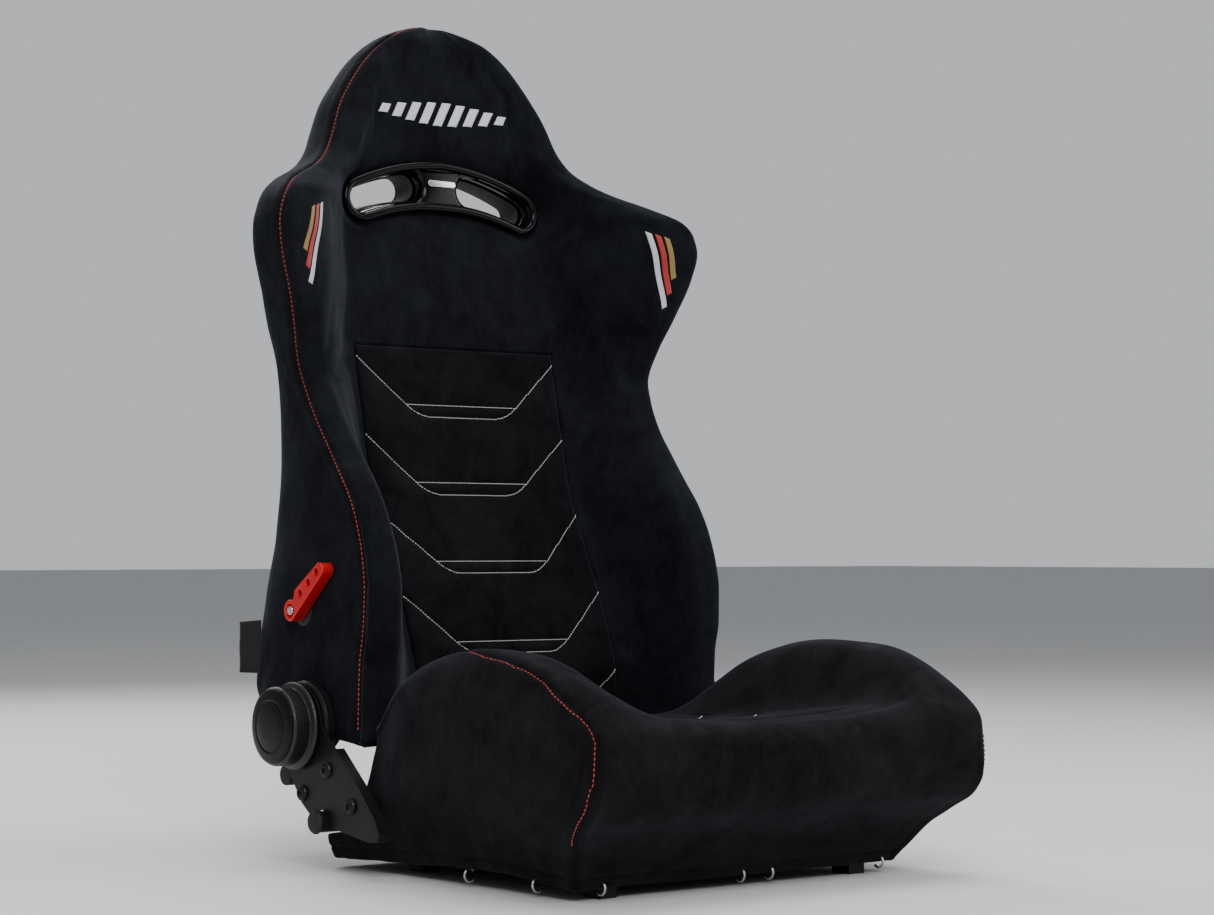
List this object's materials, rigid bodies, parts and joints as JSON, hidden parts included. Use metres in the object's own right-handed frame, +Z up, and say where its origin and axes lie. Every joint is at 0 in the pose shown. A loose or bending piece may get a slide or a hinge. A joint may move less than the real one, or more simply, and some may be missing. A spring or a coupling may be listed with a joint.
{
  "type": "racing seat",
  "caption": "Reclining racing seat in black suede with side bolsters, shoulder wings, harness openings, recliner handwheels and a release lever.",
  "frame": {"origin": "middle of the underside of the seat's bounding box, on the plane the four feet rest on", "axes": "+Z up, -Y the way the occupant faces, +X the occupant's left"},
  "size_m": [0.5954, 0.6612, 0.9265],
  "materials": {
    "suede": "black suede-like microfibre with a soft nap",
    "panel_suede": "warm black suede-like microfibre, quilted",
    "black_steel": "satin black powder coat",
    "bright_steel": "bright zinc-plated steel",
    "gloss_black": "gloss black moulded plastic",
    "grained_plastic": "black moulded plastic with a leather grain",
    "sleeve_plastic": "grey ribbed liner",
    "red_anodised": "red anodised machined aluminium",
    "badge": "small striped badge",
    "tag_fabric": "black woven tab"
  },
  "bodies": {
    "base": {"seat_cushion": "suede", "seat_panel": "panel_suede", "seat_frame": "black_steel", "cross_tube": "black_steel", "bracket_left": "black_steel", "bracket_bolt_left_1": "black_steel", "bracket_bolt_left_2": "black_steel", "bracket_bolt_left_3": "black_steel", "tube_cap_left": "black_steel", "recline_stop_left": "grained_plastic", "foot_front_left": "black_steel", "foot_rear_left": "black_steel", "bracket_right": "black_steel", "bracket_bolt_right_1": "black_steel", "bracket_bolt_right_2": "black_steel", "bracket_bolt_right_3": "black_steel", "tube_cap_right": "black_steel", "recline_stop_right": "grained_plastic", "foot_front_right": "black_steel", "foot_rear_right": "black_steel", "hog_ring_1": "bright_steel", "hog_ring_2": "bright_steel", "hog_ring_3": "bright_steel", "hog_ring_4": "bright_steel", "hog_ring_5": "bright_steel", "hog_ring_6": "bright_steel"},
    "recliner_arms": {"recliner_unit_left": "black_steel", "recliner_unit_right": "black_steel"},
    "drive": {"sync_shaft": "bright_steel", "handwheel_left": "grained_plastic", "handwheel_right": "grained_plastic", "wheel_cap_left": "gloss_black", "wheel_cap_right": "gloss_black"},
    "backrest": {"backrest_cushion": "suede", "backrest_panel": "panel_suede", "backrest_frame": "black_steel", "rear_cover": "suede", "harness_bezel": "gloss_black", "harness_bezel_rear": "gloss_black", "harness_sleeve_left": "sleeve_plastic", "harness_sleeve_right": "sleeve_plastic", "bezel_badge": "badge", "lever_escutcheon": "grained_plastic", "tab_label": "tag_fabric"},
    "lever": {"release_lever": "red_anodised", "lever_screw": "bright_steel"}
  },
  "joints": [
    {"name": "recline", "type": "hinge", "parent": "base", "child": "recliner_arms", "pos_m": [0, 0.15737, 0.149], "axis": [-1, 0, 0], "range_deg": [-3, 45]},
    {"name": "dial_turn", "type": "hinge", "parent": "base", "child": "drive", "pos_m": [0, 0.15737, 0.149], "axis": [-1, 0, 0], "range_deg": [-60, 820]},
    {"name": "fold_forward", "type": "hinge", "parent": "recliner_arms", "child": "backrest", "pos_m": [0, 0.15737, 0.149], "axis": [1, 0, 0], "range_deg": [0, 22]},
    {"name": "lever_pull", "type": "hinge", "parent": "backrest", "child": "lever", "pos_m": [-0.252, 0.17837, 0.268], "axis": [-1, 0, 0], "range_deg": [0, 25], "stiffness_Nm_per_rad": 0.4}
  ],
  "couplings": [
    {"joint": "dial_turn", "follows": "recline", "ratio": 18}
  ]
}
